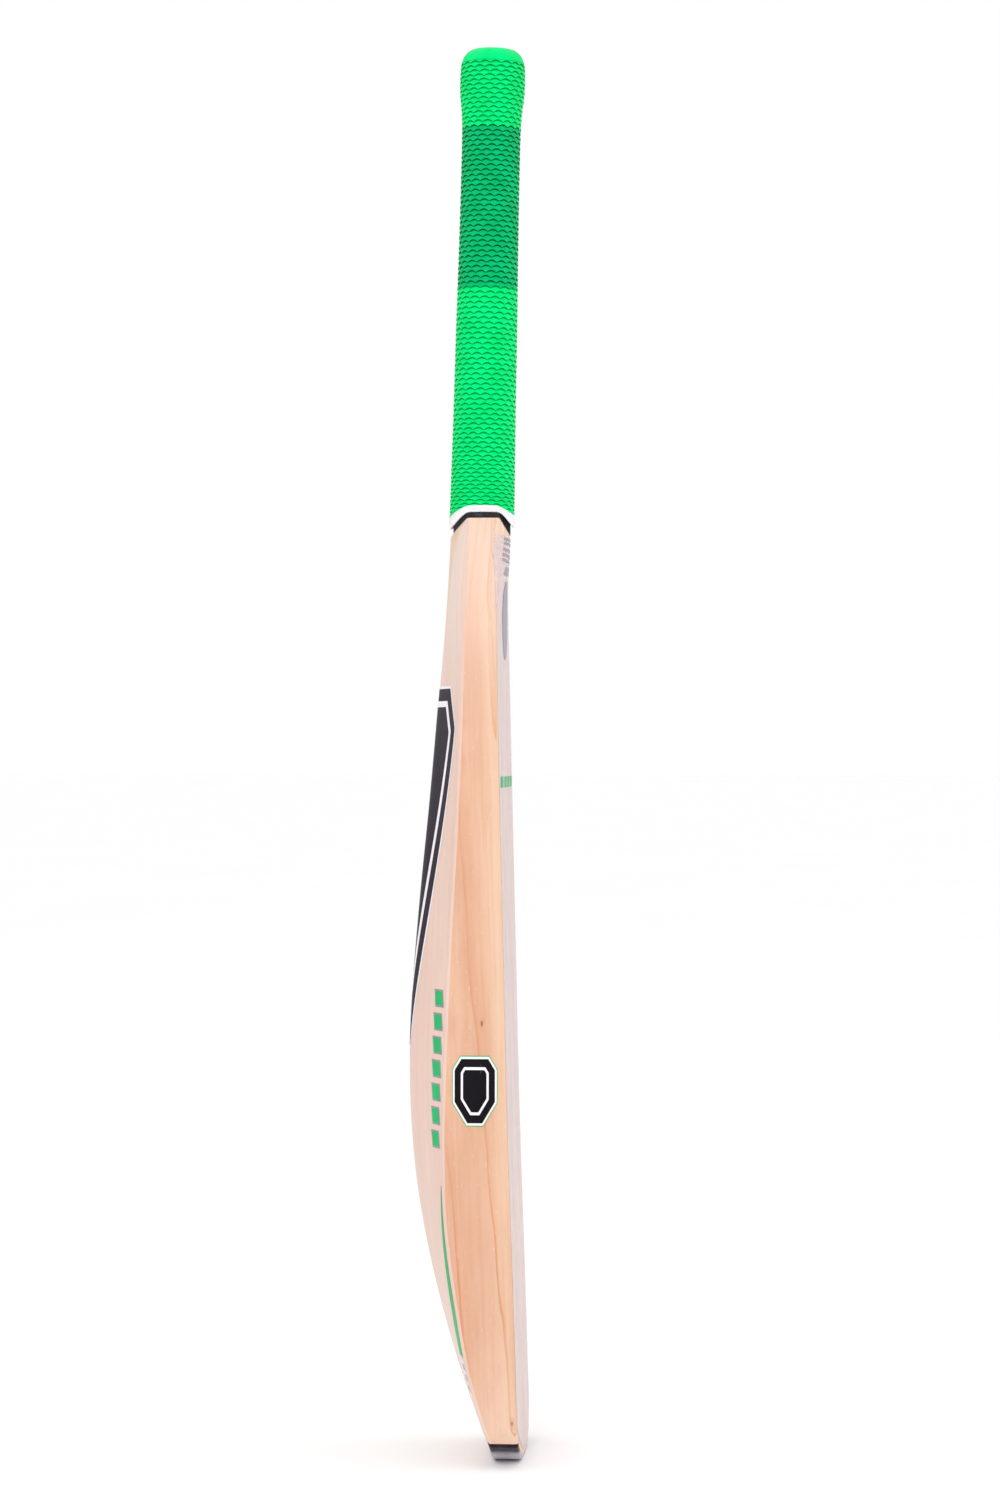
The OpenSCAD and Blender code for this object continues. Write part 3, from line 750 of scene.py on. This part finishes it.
def build_film(material):
    """The film covers the face, and at the shoulders its front corners; its foot follows the toe."""
    low, high, dip, fade = 25.5, 557.0, 21.3, 90.0
    inner, outer = [], []
    for z in np.linspace(low, high, 190):
        line = []
        reach = FACE_N + CORNER_N * min(1.0, max(0.0, (z - 490) / 55)) ** 2
        for share in np.linspace(-1, 1, 2 * (FACE_N + CORNER_N) + 1):
            x = section_between(abs(share) * reach, z)[0]
            h = z - dip * (1 - (x / HALF_W) ** 2) * max(0.0, 1 - (z - low) / fade)
            h = min(h, high - 1.4 * max(0.0, 12 - x) / 12)
            x, y = section_between(abs(share) * reach, h)
            line.append((math.copysign(x, share), y, h))
        line = np.array(line)
        along = np.gradient(line[:, :2], axis=0)
        out = np.column_stack([along[:, 1], -along[:, 0]])
        out /= np.linalg.norm(out, axis=1)[:, None]
        inner.append(line + np.column_stack([out * LIFT, np.zeros(len(line))]))
        outer.append(line + np.column_stack([out * (LIFT + FILM_T), np.zeros(len(line))]))
    film = closed_sheet("film_sheet", inner, outer, material)
    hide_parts("face_film")


def build_back_sticker(black, white):
    """A long six-sided panel, narrower at its foot, with a second outline inside it."""
    low, high, head = 243.0, 466.0, 25.0

    def half(z, inset):
        return 4 - inset + 0.21 * (z - low) - 0.75 * max(0.0, z - high + head + inset * 0.25)

    for height, (label, paint, slot, inset, foot) in enumerate((
            ("border", white, "cuff_rubber", 0.0, 0.0), ("body", black, "sticker_black", 1.6, 5.0),
            ("ring", white, "cuff_rubber", 9.0, 38.0), ("heart", black, "sticker_black", 12.6, 49.0))):
        piece = sheet("back_" + label, paint, low + foot, high - inset,
                      lambda z: -half(z, inset), lambda z: half(z, inset), on_back, (0, 1, 0),
                      lift=LIFT + LAYER_T * height, thick=LAYER_T, rows=120, cols=60)
        if height == 0:
            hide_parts("back_sticker")


def build_edge_sticker(side, black, white, green):
    """An eight-sided badge with a second, smaller outline inside it."""
    name = "left" if side < 0 else "right"
    place = on_left if side < 0 else on_right
    low, high = 204.0, 246.0

    def middle(z):
        return float(curve(FACE_Y, z) + curve(EDGE_BACK_Y, z)) / 2 + 0.6

    def half(z, inset):
        return 13.5 - inset - 0.6 * (max(0.0, low + 14 + inset * 0.4 - z)
                                     + max(0.0, z - high + 8 + inset * 0.4))

    for height, (label, paint, slot, inset) in enumerate((
            ("keyline", green, "sticker_green", 0.0), ("border", white, "cuff_rubber", 0.45),
            ("body", black, "sticker_black", 1.5), ("ring", white, "cuff_rubber", 5.2),
            ("heart", black, "sticker_black", 6.5))):
        piece = sheet("edge_%s_%s" % (label, name), paint, low + inset * 1.3, high - inset * 1.3,
                      lambda z: middle(z) - half(z, inset), lambda z: middle(z) + half(z, inset),
                      place, (side, 0, 0), lift=LIFT + LAYER_T * height, thick=LAYER_T, rows=42, cols=4)
        if height == 0:
            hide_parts("edge_sticker_" + name)


def build_flank_marks(side, green, grey, white):
    """Slanting dashes, a stripe that widens towards the toe, and a small panel on one flank."""
    name = "left" if side < 0 else "right"
    out = (0, 1, 0)
    for n in range(7):
        start = 190.0 + 14 * n
        for height, (label, paint, slot, grow) in enumerate((
                ("edge", grey, "sticker_grey", 0.0), ("fill", green, "sticker_green", 1.0))):
            piece = sheet("dash_%s_%s_%d" % (label, name, n + 1), paint, start + grow,
                          start + 10.5 - grow, lambda z: side * (49.4 - grow * 0.9 - 0.2 * (z - start)),
                          lambda z: side * (38.0 + grow * 0.9 - 0.2 * (z - start)), on_back, out,
                          lift=LIFT + LAYER_T * height, thick=LAYER_T, rows=8, cols=10)
            if n == 0 and side < 0 and height == 0:
                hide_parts("back_dash_stickers")
    for height, (label, paint, slot, grow) in enumerate((
            ("edge", grey, "sticker_grey", 0.0), ("fill", green, "sticker_green", 0.5))):
        piece = sheet("stripe_%s_%s" % (label, name), paint, 66 + grow, 168 - grow * 6,
                      lambda z: side * (51.0 - grow * 0.4),
                      lambda z: side * (50 + grow - 13 * (168 - z) / 102), on_back, out,
                      lift=LIFT + LAYER_T * height, thick=LAYER_T, rows=50, cols=10)
        if side < 0 and height == 0:
            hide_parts("lower_stripe_stickers")
    panel = sheet("toe_panel_" + name, white, 42, 64, lambda z: side * 50.5,
                  lambda z: side * 36.0, on_back, out, rows=14, cols=12)
    if side < 0:
        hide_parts("toe_panel_stickers")
    for n in range(3):
        start = 44.5 + 6.4 * n
        sheet("toe_bar_%s_%d" % (name, n + 1), grey, start, start + 4.2,
              lambda z: side * 49.0, lambda z: side * (38.0 + 0.3 * (z - start)), on_back, out,
              lift=LIFT + 0.08, thick=LAYER_T, rows=4, cols=10)


def build_face_stickers(green, grey):
    """Bars over an oval panel below the handle, and a row of dashes across the face."""
    lift = LIFT + FILM_T + 0.02

    def half(z):
        return 1 + 18 * math.sqrt(max(0.0, 1 - ((z - 506) / 24) ** 2))

    label = sheet("label_panel", grey, 482, 530, lambda z: -half(z), half, on_face,
                  (0, -1, 0), lift=lift, rows=48, cols=16)
    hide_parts("face_label")
    bars = ((533.0, 5.5, -18.0, 9.0, 1.4), (541.0, 1.8, -26.0, 26.0, 0.0),
            (544.2, 1.8, -26.0, 26.0, 0.0), (547.4, 1.8, -24.0, 24.0, 0.0),
            (551.4, 1.5, -20.0, 20.0, 0.0), (554.0, 1.5, -20.0, 20.0, 0.0))
    for n, (start, high, left, right, slant) in enumerate(bars):
        sheet("label_bar_%d" % (n + 1), grey, start, start + high,
              lambda z: left + slant * (z - start), lambda z: right + slant * (z - start), on_face,
              (0, -1, 0), lift=lift, rows=4, cols=16)
    for n in range(4):
        start = -46.0 + 24 * n
        dash = sheet("face_dash_%d" % (n + 1), green, 405, 411.5,
                     lambda z: start + (z - 405) * 0.3, lambda z: start + 14 + (z - 405) * 0.3, on_face,
                     (0, -1, 0), lift=lift, rows=6, cols=8)
        if n == 0:
            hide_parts("face_dash_sticker")


# ---- Scene -----------------------------------------------------------------------------

def build_camera():
    """Level with the bat's middle, turned a little towards the hitting face."""
    distance, turn = 2.2, math.radians(4.3)
    aim = Vector((0, 0.0052, 0.4269))
    data = bpy.data.cameras.new("camera")
    data.sensor_fit = "VERTICAL"
    data.sensor_height = 36.0
    data.lens = 86.7
    data.clip_end = 200
    camera = bpy.data.objects.new("camera", data)
    camera.location = aim + distance * Vector((-math.cos(turn), -math.sin(turn), 0))
    camera.rotation_euler = (math.pi / 2, 0, turn - math.pi / 2)
    bpy.context.scene.collection.objects.link(camera)
    bpy.context.scene.camera = camera


def area_light(name, place, size, power, target=(0, 0.01, 0.43)):
    data = bpy.data.lights.new(name, "AREA")
    data.shape = "RECTANGLE"
    data.size, data.size_y = size
    data.energy = power
    light = bpy.data.objects.new(name, data)
    light.location = place
    light.rotation_euler = (Vector(target) - Vector(place)).to_track_quat("-Z", "Y").to_euler()
    bpy.context.scene.collection.objects.link(light)


def build_world():
    """A white cove behind the bat, greyer at the sides and overhead."""
    world = bpy.data.worlds.new("studio")
    world.use_nodes = True
    tree = world.node_tree
    place = tree.nodes.new("ShaderNodeTexCoord")
    split = tree.nodes.new("ShaderNodeSeparateXYZ")
    ramps = []
    for limits in ((0.75, 0.95, WORLD_SIDE, 1.0), (0.22, 0.5, 1.0, WORLD_TOP)):
        ramp = tree.nodes.new("ShaderNodeMapRange")
        ramp.interpolation_type = "SMOOTHSTEP"
        for key, value in zip(("From Min", "From Max", "To Min", "To Max"), limits):
            ramp.inputs[key].default_value = value
        ramps.append(ramp)
    round_bat, upwards = ramps
    tree.links.new(place.outputs["Generated"], split.inputs["Vector"])
    tree.links.new(split.outputs["X"], round_bat.inputs["Value"])
    tree.links.new(split.outputs["Z"], upwards.inputs["Value"])
    tree.links.new(round_bat.outputs["Result"], upwards.inputs["To Min"])
    tree.links.new(upwards.outputs["Result"], tree.nodes["Background"].inputs["Strength"])
    tree.nodes["Background"].inputs["Color"].default_value = (1, 1, 1, 1)
    bpy.context.scene.world = world


def build_stage():
    bpy.context.scene.view_settings.view_transform = "Standard"
    build_world()
    mesh = bpy.data.meshes.new("floor")
    reach = 60.0
    mesh.from_pydata([(-reach, -reach, 0), (reach, -reach, 0), (reach, reach, 0), (-reach, reach, 0)],
                     [], [(0, 1, 2, 3)])
    mesh.materials.append(floor_material())
    floor = bpy.data.objects.new("floor", mesh)
    bpy.context.scene.collection.objects.link(floor)
    sky = bpy.data.lights.new("overhead", "SUN")
    sky.energy = 2.0
    sky.angle = math.radians(110)
    bpy.context.scene.collection.objects.link(bpy.data.objects.new("overhead", sky))
    area_light("key", (-2.3, 0.5, 1.3), (0.9, 1.3), 9)
    area_light("strip", (-2.4, 0.15, 0.85), (0.2, 1.3), 8)
    area_light("face_fill", (0.2, -2.4, 0.8), (1.6, 1.6), 11)


def build_bat():
    white = sticker_material("sticker_white", (238, 232, 238), (246, 242, 246))
    black = sticker_material("sticker_black", (7, 4, 9), (15, 11, 18), 0.5, 0.0, 0.1)
    charcoal = sticker_material("sticker_charcoal", (27, 15, 31), (39, 27, 43), 0.5, 0.0, 0.14)
    green = sticker_material("sticker_green", (0, 172, 95), (0, 188, 108), 0.45, 0.0, 0.15)
    grey = sticker_material("sticker_grey", (130, 124, 139), (146, 140, 155))
    build_blade(willow_material("willow"), willow_material("willow_painted_sheen", 0.46))
    build_toe_guard(toe_material())
    build_grip(grip_material())
    build_cuff(rubber_material("cuff_rubber", (238, 234, 240), (246, 243, 247), 0.45))
    build_twine(rubber_material("twine", (30, 26, 34), (48, 42, 52), 0.3, 0.6))
    build_film(film_material())
    build_back_sticker(charcoal, white)
    for side in (-1, 1):
        build_edge_sticker(side, black, white, green)
        build_flank_marks(side, green, grey, white)
    build_face_stickers(green, grey)
    cane, spring = cane_material(), rubber_material("spring_rubber", (36, 34, 34), (52, 48, 48), 0.6)
    for node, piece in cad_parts.items():
        if node.startswith("cane_") or node.startswith("rubber_spring"):
            piece.data.materials.clear()
            piece.data.materials.append(cane if node.startswith("cane_") else spring)


build_camera()
build_stage()
build_bat()
bpy.context.view_layer.update()
